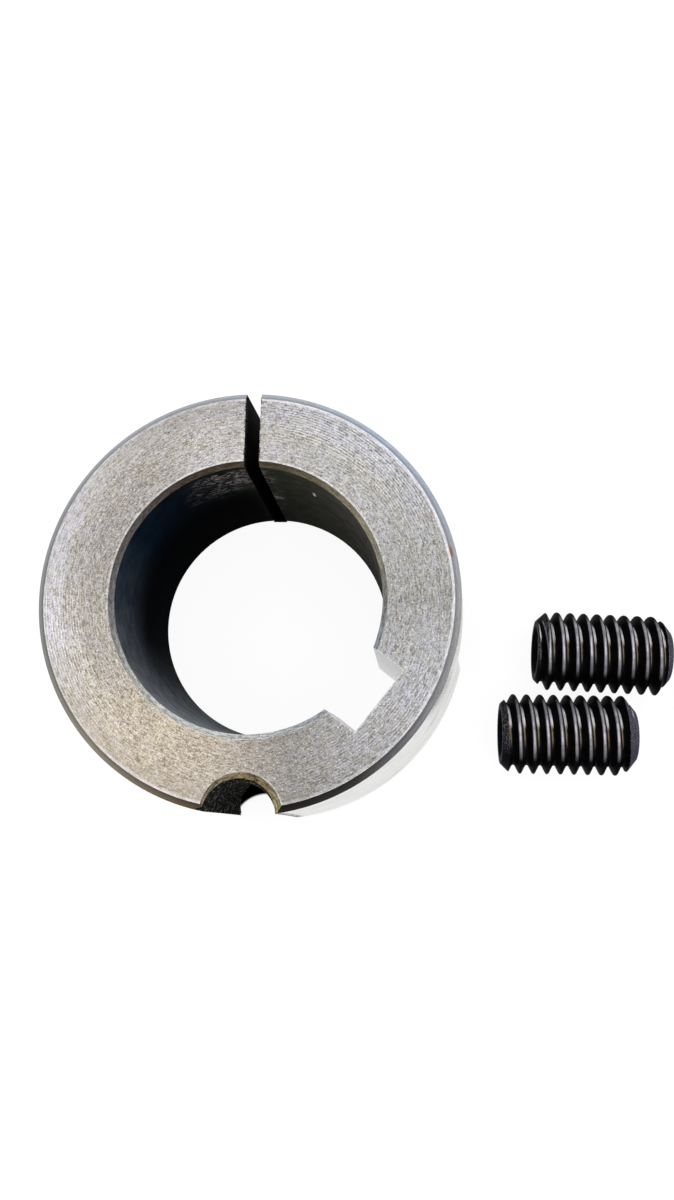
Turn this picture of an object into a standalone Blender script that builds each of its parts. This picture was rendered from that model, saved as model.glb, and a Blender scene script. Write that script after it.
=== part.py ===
"""Split taper bushing for a keyed shaft, with its two clamping set screws lying beside it.

The bushing stands on its large end, small end up. Its bore axis is parallel to Z, the saw cut
that lets it close on the shaft faces +Y, and the threaded removal half-hole faces -Y. The two
plain clamping half-holes are blind and open on the large end only. The set screws lie on the
same surface, socket ends towards the bushing. The origin is the middle of the set's footprint.
"""
import math

import bmesh
import bpy

MM = 0.001

# Bushing body
LENGTH = 25.4 * MM
BORE_DIAMETER = 28.0 * MM
WALL_AT_LARGE_END = 9.8125 * MM
TAPER_PER_SIDE = math.radians(4.0)
BORE_EDGE_CHAMFER = 0.5 * MM
RIM_CHAMFER = 0.65 * MM

# Keyway along the whole bore, and the saw cut opposite the removal hole
KEYWAY_WIDTH = 8.0 * MM
KEYWAY_DEPTH = 3.3 * MM
KEYWAY_CORNER_RADIUS = 0.25 * MM
KEYWAY_ANGLE = math.radians(-37.2)
SAW_CUT_WIDTH = 1.4 * MM
SAW_CUT_ANGLE = math.radians(90.0)

# Half-holes, all centred on one screw circle just inside the edge of the large end
SCREW_CIRCLE_INSET = 25.4 / 16 * MM
REMOVAL_HOLE_ANGLE = math.radians(-90.0)
REMOVAL_HOLE_COUNTERSINK = 8.8 * MM
CLAMP_HOLE_ANGLES = (math.radians(0.0), math.radians(180.0))
CLAMP_HOLE_CLEARANCE = 0.25 * MM
CLAMP_HOLE_DEPTH = 14.5 * MM
DRILL_POINT_HALF_ANGLE = math.radians(59.0)

# Thread of 16 turns to the inch with flanks at 55 degrees, shared by screws and removal hole
THREAD_DIAMETER = 9.525 * MM
THREAD_PITCH = 25.4 / 16 * MM
THREAD_DEPTH_PER_PITCH = 0.64
THREAD_FLANK_ANGLE = math.radians(27.5)
SCREW_THREAD_ALLOWANCE = 0.06 * MM

# Set screws
SCREW_LENGTH = 15.7 * MM
FIRST_CREST_FROM_SOCKET_END = 1.2 * MM
SOCKET_END_DIAMETER = 7.2 * MM
SOCKET_END_CHAMFER = 1.15 * MM
SOCKET_WIDTH = 4.7625 * MM
SOCKET_DEPTH = 5.6 * MM
POINT_DIAMETER = 6.0 * MM
POINT_CHAMFER = 1.4 * MM

# Where the screws lie: the gap from the bushing's large end, and the way across to its axis
NEAR_SCREW_GAP = 3.95 * MM
NEAR_SCREW_OFFSET = 12.88 * MM
NEAR_SCREW_TURN = math.radians(0.0)
NEAR_SCREW_ROLL = math.radians(-157.5)
FAR_SCREW_LEAD = 4.2 * MM
FAR_SCREW_TURN = math.radians(-2.0)
FAR_SCREW_ROLL = math.radians(0.0)
SCREW_SIDE_GAP = 0.62 * MM

# Facets
BODY_SEGMENTS = 144
HOLE_SEGMENTS = 32
KEYWAY_CORNER_SEGMENTS = 3
QUARTER_FACET = math.pi / 2 / HOLE_SEGMENTS
OVERRUN = 1.5 * MM

# Worked out from the sizes above
BORE_RADIUS = BORE_DIAMETER / 2
LARGE_END_RADIUS = BORE_RADIUS + WALL_AT_LARGE_END
SCREW_CIRCLE_RADIUS = LARGE_END_RADIUS - SCREW_CIRCLE_INSET
THREAD_RADIUS = THREAD_DIAMETER / 2
THREAD_DEPTH = THREAD_DEPTH_PER_PITCH * THREAD_PITCH
SCREW_RADIUS = THREAD_RADIUS - SCREW_THREAD_ALLOWANCE
NEAR_SCREW_START = LARGE_END_RADIUS + NEAR_SCREW_GAP
FAR_SCREW_START = NEAR_SCREW_START + FAR_SCREW_LEAD
FAR_SCREW_OFFSET = NEAR_SCREW_OFFSET - 2 * SCREW_RADIUS - SCREW_SIDE_GAP
FOOTPRINT_END = FAR_SCREW_START + SCREW_LENGTH * math.cos(FAR_SCREW_TURN)
BUSHING_X = (LARGE_END_RADIUS - FOOTPRINT_END) / 2


def clear_scene():
    """Remove whatever the start-up file holds."""
    for thing in list(bpy.data.objects):
        bpy.data.objects.remove(thing, do_unlink=True)


def metal(name, colour, metallic, roughness):
    """A plain metal finish."""
    finish = bpy.data.materials.new(name)
    finish.use_nodes = True
    shader = finish.node_tree.nodes["Principled BSDF"]
    shader.inputs["Base Color"].default_value = (*colour, 1.0)
    shader.inputs["Metallic"].default_value = metallic
    shader.inputs["Roughness"].default_value = roughness
    finish.diffuse_color = (*colour, 1.0)
    return finish


def to_mesh(name, shape):
    """Turn a finished bmesh into a mesh whose faces point outwards."""
    bmesh.ops.recalc_face_normals(shape, faces=shape.faces)
    mesh = bpy.data.meshes.new(name)
    shape.to_mesh(mesh)
    shape.free()
    return mesh


def add_object(name, mesh):
    """Put a mesh into the scene as an object of the same name."""
    thing = bpy.data.objects.new(name, mesh)
    bpy.context.scene.collection.objects.link(thing)
    return thing


def lathe(name, profile, segments, ring=False):
    """Turn a profile of (radius, height) points about Z. A ring's profile is a closed loop."""
    shape = bmesh.new()
    points = [shape.verts.new((radius, 0.0, height)) for radius, height in profile]
    edges = [shape.edges.new(pair) for pair in zip(points, points[1:])]
    if ring:
        edges.append(shape.edges.new((points[-1], points[0])))
    bmesh.ops.spin(shape, geom=points + edges, cent=(0, 0, 0), axis=(0, 0, 1),
                   angle=2 * math.pi, steps=segments, use_merge=True)
    bmesh.ops.remove_doubles(shape, verts=shape.verts, dist=1e-7)
    return to_mesh(name, shape)


def block(name, low, high, rounded=0.0, round_at=None):
    """A box between two corners. Its upright edges at x = round_at are rounded over."""
    shape = bmesh.new()
    bmesh.ops.create_cube(shape, size=1.0)
    for point in shape.verts:
        for axis in range(3):
            point.co[axis] = high[axis] if point.co[axis] > 0 else low[axis]
    if rounded:
        upright = [edge for edge in shape.edges
                   if all(abs(point.co.x - round_at) < 1e-7 for point in edge.verts)
                   and abs(edge.verts[0].co.z - edge.verts[1].co.z) > 1e-6]
        bmesh.ops.bevel(shape, geom=upright, offset=rounded, offset_type="OFFSET",
                        segments=KEYWAY_CORNER_SEGMENTS, affect="EDGES", profile=0.5)
    return to_mesh(name, shape)


def thread_profile(radius):
    """One turn of the thread as (radius, distance along the axis), its crest centred on zero."""
    flank = THREAD_DEPTH * math.tan(THREAD_FLANK_ANGLE)
    crest = (THREAD_PITCH - 2 * flank) / 2
    root = radius - THREAD_DEPTH
    return [(radius, -crest / 2), (radius, crest / 2),
            (root, crest / 2 + flank), (root, THREAD_PITCH - crest / 2 - flank)]


def threaded_rod(name, radius, start, end, crest_at, crest_angle, segments):
    """A right-hand threaded rod along Z that covers start to end, closed by a fan at each end.

    The middle of a crest passes height crest_at at crest_angle about the axis.
    """
    profile = thread_profile(radius)
    rows = len(profile)
    base = crest_at - THREAD_PITCH * crest_angle / (2 * math.pi)
    first = math.floor((start - base) / THREAD_PITCH) - 2
    last = math.ceil((end - base) / THREAD_PITCH) + 1
    turns = last - first

    shape = bmesh.new()
    columns = []
    for step in range(segments):
        angle = 2 * math.pi * step / segments
        rise = base + THREAD_PITCH * step / segments
        column = []
        for turn in range(first, last + 1):
            for reach, along in profile:
                column.append(shape.verts.new((reach * math.cos(angle), reach * math.sin(angle),
                                               rise + turn * THREAD_PITCH + along)))
        columns.append(column)
    # The last column meets the first one a full turn further up the thread.
    columns.append(columns[0][rows:])
    for left, right in zip(columns, columns[1:]):
        for row in range(turns * rows - 1):
            shape.faces.new((left[row], right[row], right[row + 1], left[row + 1]))

    low_rim = [column[0] for column in columns] + columns[0][1:rows][::-1]
    top = turns * rows - 1
    high_rim = [column[top] for column in columns] + columns[0][top + 1:top + rows][::-1]
    for rim in (low_rim, high_rim):
        middle = shape.verts.new((0.0, 0.0, sum(point.co.z for point in rim) / len(rim)))
        for here, there in zip(rim, rim[1:] + rim[:1]):
            shape.faces.new((here, there, middle))
    spare = [point for point in shape.verts if not point.link_faces]
    bmesh.ops.delete(shape, geom=spare, context="VERTS")
    return to_mesh(name, shape)


def countersink(name, rim_radius, face_height, outwards):
    """A cone with its rim on a face, wider outside the face. Outwards is +1 for up, -1 for down."""
    wide = face_height + outwards * OVERRUN
    tip = face_height - outwards * rim_radius
    return lathe(name, [(0.0, tip), (rim_radius + OVERRUN, wide), (0.0, wide)], HOLE_SEGMENTS)


def cut(body, tool, operation="DIFFERENCE"):
    """Cut a body with a tool, which stays in the scene as a wire guide."""
    tool.hide_render = True
    tool.display_type = "WIRE"
    step = body.modifiers.new(tool.name, "BOOLEAN")
    step.operation = operation
    step.solver = "EXACT"
    step.object = tool


def place_on_screw_circle(tool, angle, turn):
    """Move a tool, made about Z, to a place on the bushing's screw circle.

    Its turn keeps its facets' edges off those of the bushing and of other tools at that place.
    """
    tool.location = (BUSHING_X + SCREW_CIRCLE_RADIUS * math.cos(angle),
                     SCREW_CIRCLE_RADIUS * math.sin(angle), 0.0)
    tool.rotation_euler = (0.0, 0.0, turn)


def bushing_blank():
    """The turned ring: straight bore, tapered outside, and a chamfer on all four edges."""
    slope = math.tan(TAPER_PER_SIDE)
    small_end_radius = LARGE_END_RADIUS - LENGTH * slope
    rim_drop = RIM_CHAMFER * slope
    profile = [(BORE_RADIUS + BORE_EDGE_CHAMFER, 0.0),
               (LARGE_END_RADIUS - RIM_CHAMFER, 0.0),
               (LARGE_END_RADIUS - rim_drop, RIM_CHAMFER),
               (small_end_radius + rim_drop, LENGTH - RIM_CHAMFER),
               (small_end_radius - RIM_CHAMFER, LENGTH),
               (BORE_RADIUS + BORE_EDGE_CHAMFER, LENGTH),
               (BORE_RADIUS, LENGTH - BORE_EDGE_CHAMFER),
               (BORE_RADIUS, BORE_EDGE_CHAMFER)]
    return lathe("bushing", profile, BODY_SEGMENTS, ring=True)


def keyway_tool():
    """The broached keyway, as a bar from the axis out to the keyway floor."""
    floor = BORE_RADIUS + KEYWAY_DEPTH
    bar = block("keyway_tool", (0.0, -KEYWAY_WIDTH / 2, -OVERRUN),
                (floor, KEYWAY_WIDTH / 2, LENGTH + OVERRUN), KEYWAY_CORNER_RADIUS, floor)
    tool = add_object("keyway_tool", bar)
    tool.location = (BUSHING_X, 0.0, 0.0)
    tool.rotation_euler = (0.0, 0.0, KEYWAY_ANGLE)
    return tool


def saw_cut_tool():
    """The blade that splits one side of the ring from end to end."""
    blade = block("saw_cut_tool", (0.0, -SAW_CUT_WIDTH / 2, -OVERRUN),
                  (LARGE_END_RADIUS + OVERRUN, SAW_CUT_WIDTH / 2, LENGTH + OVERRUN))
    tool = add_object("saw_cut_tool", blade)
    tool.location = (BUSHING_X, 0.0, 0.0)
    tool.rotation_euler = (0.0, 0.0, SAW_CUT_ANGLE)
    return tool


def removal_hole_tools():
    """The tap for the removal half-hole, and a countersink for each end of it."""
    # A groove leaves the small end on the open side, so that the rim in the metal stays round.
    tap = add_object("removal_hole_tap",
                     threaded_rod("removal_hole_tap", THREAD_RADIUS, -OVERRUN, LENGTH + OVERRUN,
                                  LENGTH, REMOVAL_HOLE_ANGLE - QUARTER_FACET, HOLE_SEGMENTS))
    rim = REMOVAL_HOLE_COUNTERSINK / 2
    upper = add_object("removal_hole_upper_countersink",
                       countersink("removal_hole_upper_countersink", rim, LENGTH, 1))
    lower = add_object("removal_hole_lower_countersink",
                       countersink("removal_hole_lower_countersink", rim, 0.0, -1))
    place_on_screw_circle(tap, REMOVAL_HOLE_ANGLE, QUARTER_FACET)
    for tool in (upper, lower):
        place_on_screw_circle(tool, REMOVAL_HOLE_ANGLE, -QUARTER_FACET)
    return [tap, upper, lower]


def clamp_hole_tools():
    """A drill for each blind half-hole, up from the large end."""
    radius = THREAD_RADIUS + CLAMP_HOLE_CLEARANCE
    tip = CLAMP_HOLE_DEPTH + radius / math.tan(DRILL_POINT_HALF_ANGLE)
    profile = [(0.0, -OVERRUN), (radius, -OVERRUN), (radius, CLAMP_HOLE_DEPTH), (0.0, tip)]
    tools = []
    for number, angle in enumerate(CLAMP_HOLE_ANGLES, start=1):
        name = f"clamp_hole_drill_{number}"
        tool = add_object(name, lathe(name, profile, HOLE_SEGMENTS))
        place_on_screw_circle(tool, angle, QUARTER_FACET)
        tools.append(tool)
    return tools


def build_bushing():
    """The bushing: the turned ring with its keyway, saw cut and three half-holes."""
    bushing = add_object("bushing", bushing_blank())
    bushing.location = (BUSHING_X, 0.0, 0.0)
    bushing.data.materials.append(metal("turned_iron", (0.47, 0.45, 0.42), 0.85, 0.42))
    for tool in [keyway_tool(), saw_cut_tool(), *removal_hole_tools(), *clamp_hole_tools()]:
        cut(bushing, tool)
    return bushing


def screw_blank():
    """The turned envelope of a set screw: chamfered socket end at zero, chamfered point above."""
    outside = SCREW_RADIUS + OVERRUN
    socket_slope = (SCREW_RADIUS - SOCKET_END_DIAMETER / 2) / SOCKET_END_CHAMFER
    point_slope = (SCREW_RADIUS - POINT_DIAMETER / 2) / POINT_CHAMFER
    return lathe("screw_blank", [(0.0, 0.0), (SOCKET_END_DIAMETER / 2, 0.0),
                                 (outside, (outside - SOCKET_END_DIAMETER / 2) / socket_slope),
                                 (outside, SCREW_LENGTH - (outside - POINT_DIAMETER / 2) / point_slope),
                                 (POINT_DIAMETER / 2, SCREW_LENGTH), (0.0, SCREW_LENGTH)],
                 2 * HOLE_SEGMENTS)


def socket_tool():
    """The hexagon broach, with the drill point of the hole that it follows."""
    corner = SOCKET_WIDTH / 2 / math.cos(math.radians(30.0))
    tip = SOCKET_DEPTH + corner / math.tan(DRILL_POINT_HALF_ANGLE)
    return lathe("socket_tool", [(0.0, -OVERRUN), (corner, -OVERRUN), (corner, SOCKET_DEPTH),
                                 (0.0, tip)], 6)


def screw_mesh():
    """One set screw along Z, from its socket end at zero to its point.

    The envelope is turned a little, to keep its facets' edges off those of the thread.
    """
    # The crest angle puts the first crest on top of a screw that isn't rolled.
    rod = add_object("screw_rod", threaded_rod("screw_rod", SCREW_RADIUS, 0.0, SCREW_LENGTH,
                                               FIRST_CREST_FROM_SOCKET_END, math.pi,
                                               HOLE_SEGMENTS))
    envelope = add_object("screw_envelope", screw_blank())
    envelope.rotation_euler = (0.0, 0.0, QUARTER_FACET)
    broach = add_object("screw_broach", socket_tool())
    cut(rod, envelope, "INTERSECT")
    cut(rod, broach)
    bpy.context.view_layer.update()
    finished = rod.evaluated_get(bpy.context.evaluated_depsgraph_get())
    mesh = bpy.data.meshes.new_from_object(finished)
    mesh.name = "set_screw"
    for helper in (rod, envelope, broach):
        bpy.data.objects.remove(helper, do_unlink=True)
    return mesh


def build_set_screws():
    """Two equal set screws that lie side by side, each rolled about its level axis."""
    mesh = screw_mesh()
    mesh.materials.append(metal("black_oxide_steel", (0.035, 0.033, 0.033), 0.7, 0.38))
    places = ((NEAR_SCREW_START, -NEAR_SCREW_OFFSET, NEAR_SCREW_ROLL, NEAR_SCREW_TURN),
              (FAR_SCREW_START, -FAR_SCREW_OFFSET, FAR_SCREW_ROLL, FAR_SCREW_TURN))
    screws = []
    for number, (start, across, roll, turn) in enumerate(places, start=1):
        screw = add_object(f"set_screw_{number}", mesh)
        screw.location = (BUSHING_X + start, across, SCREW_RADIUS)
        # First laid level along X, then rolled about X, then turned on the surface.
        screw.rotation_mode = "YXZ"
        screw.rotation_euler = (roll, math.radians(90.0), turn)
        screws.append(screw)
    return screws


def shade(things):
    """Shade round faces smooth and keep the machined edges sharp."""
    for thing in things:
        thing.data.shade_smooth()
        thing.data.set_sharp_from_angle(angle=math.radians(20.0))


def main():
    clear_scene()
    shade([build_bushing(), *build_set_screws()])


main()
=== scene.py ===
"""Looks of a split taper bushing and its two set screws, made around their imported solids.

The file is laid out as a Blender add-on and is run as a script. It makes the turned bushing, the
two threaded set screws and a plain stage with the camera, each with an operator of its own.
"""
import math

import bmesh
import bpy
from bpy.props import FloatProperty, FloatVectorProperty, IntProperty, PointerProperty
from mathutils import Matrix, Vector


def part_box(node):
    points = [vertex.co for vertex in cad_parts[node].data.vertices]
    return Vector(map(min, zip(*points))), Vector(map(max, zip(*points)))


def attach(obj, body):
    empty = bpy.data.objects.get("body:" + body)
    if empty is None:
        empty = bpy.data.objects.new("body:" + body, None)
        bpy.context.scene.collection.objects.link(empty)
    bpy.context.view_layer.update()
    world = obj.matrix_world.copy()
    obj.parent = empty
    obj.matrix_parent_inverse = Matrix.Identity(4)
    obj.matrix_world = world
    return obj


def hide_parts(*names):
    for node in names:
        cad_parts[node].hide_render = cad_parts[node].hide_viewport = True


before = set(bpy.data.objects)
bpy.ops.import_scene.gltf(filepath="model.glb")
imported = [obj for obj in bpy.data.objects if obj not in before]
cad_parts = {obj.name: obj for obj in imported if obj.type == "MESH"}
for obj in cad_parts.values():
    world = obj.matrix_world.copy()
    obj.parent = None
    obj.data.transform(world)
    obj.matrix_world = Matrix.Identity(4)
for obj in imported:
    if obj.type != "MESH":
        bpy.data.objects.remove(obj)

bl_info = {
    "name": "Split taper bushing",
    "version": (1, 0, 0),
    "blender": (4, 5, 0),
    "location": "3D View > Sidebar > Bushing",
    "description": "Makes a split taper bushing, its set screws and a plain stage",
    "category": "Mesh",
}

MM = 0.001
TAU = 2 * math.pi
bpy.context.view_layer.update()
BODY = "root"
SENSOR_WIDTH = 36.0

# The bore axis is upright through the middle of the bushing's box.
BUSHING_LOW, BUSHING_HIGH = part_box("bushing")
BORE_AXIS_X = (BUSHING_LOW.x + BUSHING_HIGH.x) / 2
BORE_FOOT = (BORE_AXIS_X, 0.0, 0.0)
NEAR_SCREW_LOW, NEAR_SCREW_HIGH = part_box("set_screw_1")


def distance(name, description, default):
    """A length setting. Its default is in metres."""
    return FloatProperty(name=name, description=description, default=default, precision=5,
                         unit="LENGTH")


def angle(name, description, degrees):
    """An angle setting. Its default is given in degrees."""
    return FloatProperty(name=name, description=description, default=math.radians(degrees),
                         subtype="ANGLE")


def share(name, description, default):
    """A plain number setting."""
    return FloatProperty(name=name, description=description, default=default, precision=3)


def steps(name, description, default):
    """A setting that counts facets."""
    return IntProperty(name=name, description=description, default=default, min=3)


def colour(name, description, default):
    """A colour setting, in linear red, green and blue."""
    return FloatVectorProperty(name=name, description=description, default=default,
                               subtype="COLOR", size=3, min=0.0, max=1.0)


def spot(name, description, default):
    """A setting for a place, in metres."""
    return FloatVectorProperty(name=name, description=description, default=default, size=3,
                               subtype="TRANSLATION")


class BushingSizes(bpy.types.PropertyGroup):
    """Sizes of the bushing."""

    length: distance("Length", "From the large end to the small end",
                     BUSHING_HIGH.z - BUSHING_LOW.z)
    bore: distance("Bore", "Diameter of the bore", 28.0 * MM)
    wall: distance("Wall", "Wall between bore and outside at the large end", 9.8125 * MM)
    taper: angle("Taper", "Slope of the outside against the axis", 4.0)
    bore_chamfer: distance("Bore Chamfer", "Chamfer at both ends of the bore", 0.5 * MM)
    rim_chamfer: distance("Rim Chamfer", "Chamfer round both end faces", 0.65 * MM)
    edge_round: distance("Edge Round", "Radius that wear leaves on the turned edges", 0.07 * MM)
    keyway_width: distance("Keyway Width", "Width of the keyway", 8.0 * MM)
    keyway_depth: distance("Keyway Depth", "Depth of the keyway below the bore", 3.3 * MM)
    keyway_corner: distance("Keyway Corner", "Radius in the keyway's corners", 0.25 * MM)
    keyway_angle: angle("Keyway Angle", "Where the keyway lies about the axis", -37.2)
    saw_width: distance("Saw Cut", "Width of the saw cut", 1.6 * MM)
    screw_circle_inset: distance("Screw Circle Inset", "From the large end's edge in to the "
                                 "centres of the half-holes", 25.4 / 16 * MM)
    screw_diameter: distance("Screw", "Outside diameter of the set screws' thread", 9.525 * MM)
    tap_diameter: distance("Tap", "Diameter of the tap for the removal half-hole", 9.15 * MM)
    tap_drift: distance("Tap Drift", "How far off the half-hole's middle the tap runs, away "
                        "from the set screws", 0.14 * MM)
    tap_drop: distance("Tap Drop", "How far off it the tap runs, away from the bore", 0.14 * MM)
    countersink: distance("Countersink", "Rim diameter of the removal half-hole", 8.45 * MM)
    sink_drift: distance("Countersink Drift", "How far off the half-hole's middle the upper "
                         "countersink lies, towards the set screws", 0.11 * MM)
    sink_inset: distance("Countersink Inset", "How far it lies towards the bore", 0.25 * MM)
    thread_start: angle("Thread Start", "Where about the removal half-hole its groove passes "
                        "the small end", -31.0)
    clamp_clearance: distance("Clamp Clearance", "Play round a screw in a clamping half-hole",
                              0.25 * MM)
    clamp_depth: distance("Clamp Depth", "Depth of a clamping half-hole", 14.5 * MM)
    drill_point: angle("Drill Point", "Half the point angle of a drill", 59.0)
    steps_around: steps("Steps Around", "Facets round the bushing", 432)
    hole_steps: steps("Hole Steps", "Facets round a half-hole", 96)


class ScrewSizes(bpy.types.PropertyGroup):
    """Sizes of the set screws and of the thread that they share with the removal half-hole."""

    pitch: distance("Pitch", "Rise of the thread in one turn", 25.4 / 16 * MM)
    flank: angle("Flank Angle", "Half the angle between the thread's flanks", 27.5)
    rounding: share("Rounding", "Radius at crest and root, as a share of the pitch", 0.1373)
    first_crest: distance("First Crest", "From the socket end to the first crest on top of a "
                          "screw that isn't rolled", 1.2 * MM)
    socket_end: distance("Socket End", "Diameter of the face at the socket end", 7.2 * MM)
    socket_chamfer: distance("Socket Chamfer", "Length of the chamfer at the socket end",
                             1.15 * MM)
    socket_width: distance("Socket Width", "Width across the flats of the socket", 4.7625 * MM)
    socket_depth: distance("Socket Depth", "Depth of the socket's flats", 5.6 * MM)
    point_end: distance("Point", "Diameter of the flat at the point", 6.0 * MM)
    point_chamfer: distance("Point Chamfer", "Length of the chamfer at the point", 1.4 * MM)
    near_roll: angle("Near Screw Roll", "How the nearer screw is rolled about its axis", -157.5)
    far_turn: angle("Far Screw Turn", "How the farther screw is turned on the surface", -2.0)
    steps_around: steps("Steps Around", "Facets round a screw", 144)
    steps_per_turn: steps("Steps per Turn", "Facets along one pitch", 24)


class FinishSettings(bpy.types.PropertyGroup):
    """Colours of the finishes."""

    iron: colour("Turned Iron", "Grey iron as the turning tool leaves it", (0.37, 0.37, 0.37))
    # Edges of the faces: worn, and lit by a painted highlight that changes round the bore.
    worn_and_lit: colour("Worn Edge", "Edges of a face that wear has polished", (0.76, 0.745, 0.79))
    pit: colour("Pit", "Small pits in a face", (0.03, 0.025, 0.02))
    seat: colour("Taper Seat", "Smooth iron of the tapered seat", (0.78, 0.775, 0.76))
    dry_oil: colour("Dried Oil", "Brown film of old cutting oil", (0.17, 0.125, 0.07))
    thin_oil: colour("Thin Oil", "The film on the side of a face away from the set screws",
                     (0.27, 0.17, 0.085))
    scuff: colour("Scuff", "Bore torn bright beside the saw cut", (0.74, 0.66, 0.62))
    broached: colour("Keyway", "Bright wall of the keyway", (0.78, 0.78, 0.78))
    # The saw cut's wall is black as painted shade; the chips beside the cut take the same black.
    sawn: colour("Sawn Wall", "Dark wall of the saw cut", (0.003, 0.003, 0.004))
    fleck: colour("Fleck", "Flecks on the wall of the saw cut", (0.27, 0.26, 0.22))
    tapped: colour("Tapped Wall", "Oily thread in the removal half-hole", (0.012, 0.013, 0.012))
    glint: colour("Glint", "Metal that shows through the oil there", (0.17, 0.175, 0.145))
    sink_behind: colour("Countersink Behind", "Its side away from the set screws",
                        (0.26, 0.21, 0.155))
    sink_middle: colour("Countersink Middle", "Its middle", (0.29, 0.215, 0.110))
    sink_ahead: colour("Countersink Ahead", "Its side by the set screws", (0.46, 0.39, 0.215))
    drilled: colour("Drilled Wall", "Wall of a clamping half-hole", (0.20, 0.185, 0.165))
    black_oxide: colour("Black Oxide", "Black oxide on the set screws", (0.0025, 0.0025, 0.003))
    # The set screws' painted highlights: the steel colour of the crests' highlight, and the flanks'
    # highlight below and above the top line as the camera sees it.
    rubbed: colour("Rubbed Steel", "Steel that shows where the black is rubbed thin",
                   (0.52, 0.50, 0.56))
    flank_highlight_below: colour("Flank Below", "Rubbed flanks below a screw's top line, as the camera "
                        "sees it", (0.46, 0.35, 0.22))
    flank_highlight_above: colour("Flank Above", "Rubbed flanks above that line", (1.0, 0.98, 1.0))
    cone: colour("Cone", "Chamfered ends of the set screws", (0.085, 0.080, 0.125))
    rust: colour("Rust", "Small rust stain on the rim", (0.33, 0.13, 0.045))


class StageSettings(bpy.types.PropertyGroup):
    """The camera, the lamps and the surface that the set lies on."""

    camera_place: spot("Camera Place", "Where the camera stands, over the set",
                       (4.40 * MM, -15.93 * MM, 126.23 * MM))
    camera_aim: spot("Camera Aim", "The point of the surface in mid picture",
                     (-4.34 * MM, 3.77 * MM, 0.0))
    camera_roll: angle("Camera Roll", "How far the camera leans about its own axis", 1.21)
    lens: FloatProperty(name="Lens", description="Focal length, in millimetres of a 36 mm frame",
                        default=30.0, unit="CAMERA")
    sky: share("Sky", "Brightness of the even light from all round", 0.60)
    soft_box: share("Soft Box", "Brightness of the soft box overhead", 1.5)
    soft_box_size: distance("Soft Box Size", "Side of the soft box", 0.5)
    soft_box_y: distance("Soft Box Y", "Where the soft box hangs, towards the saw cut", 0.04)
    soft_box_height: distance("Soft Box Height", "Height of the soft box", 0.42)
    floor_size: distance("Floor Size", "Side of the floor", 6.0)
    floor_drop: distance("Floor Drop", "Gap that keeps the floor off the parts", 0.03 * MM)
    floor_white: share("Floor White", "Share of the floor's white that no shadow takes", 0.91)
    floor_grey: colour("Floor Colour", "Colour of the floor as the lamps light it",
                       (0.13, 0.13, 0.13))
    hole_light: distance("Hole Light", "How far the floor of the removal half-hole is lit, "
                         "from a point outside the ring", 4.4 * MM)
    hole_light_x: distance("Hole Light X", "Where that point lies, from the half-hole's middle",
                           -0.5 * MM)
    hole_light_y: distance("Hole Light Y", "Where that point lies, from the half-hole's middle",
                           -3.0 * MM)


class TaperBushingSettings(bpy.types.PropertyGroup):
    """All settings of the set."""

    bushing: PointerProperty(name="Bushing", type=BushingSizes)
    screws: PointerProperty(name="Set Screws", type=ScrewSizes)
    finish: PointerProperty(name="Finish", type=FinishSettings)
    stage: PointerProperty(name="Stage", type=StageSettings)


class Value:
    """An output of a node tree. Arithmetic on it adds the tree's Math nodes."""

    def __init__(self, graph, socket):
        self.graph = graph
        self.socket = socket

    def math(self, operation, *others):
        """A Math node with this value first."""
        return self.graph.math(operation, self, *others)

    def __add__(self, other):
        return self.math("ADD", other)

    def __radd__(self, other):
        return self.graph.math("ADD", other, self)

    def __sub__(self, other):
        return self.math("SUBTRACT", other)

    def __rsub__(self, other):
        return self.graph.math("SUBTRACT", other, self)

    def __mul__(self, other):
        return self.math("MULTIPLY", other)

    def __rmul__(self, other):
        return self.graph.math("MULTIPLY", other, self)

    def __truediv__(self, other):
        return self.math("DIVIDE", other)

    def __rtruediv__(self, other):
        return self.graph.math("DIVIDE", other, self)

    def __abs__(self):
        return self.math("ABSOLUTE")

    def __gt__(self, other):
        return self.math("GREATER_THAN", other)

    def __lt__(self, other):
        return self.math("LESS_THAN", other)


class Outputs:
    """The outputs of one node, by name or by number."""

    def __init__(self, graph, node):
        self.graph = graph
        self.node = node

    def __getitem__(self, key):
        return Value(self.graph, self.node.outputs[key])


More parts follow.
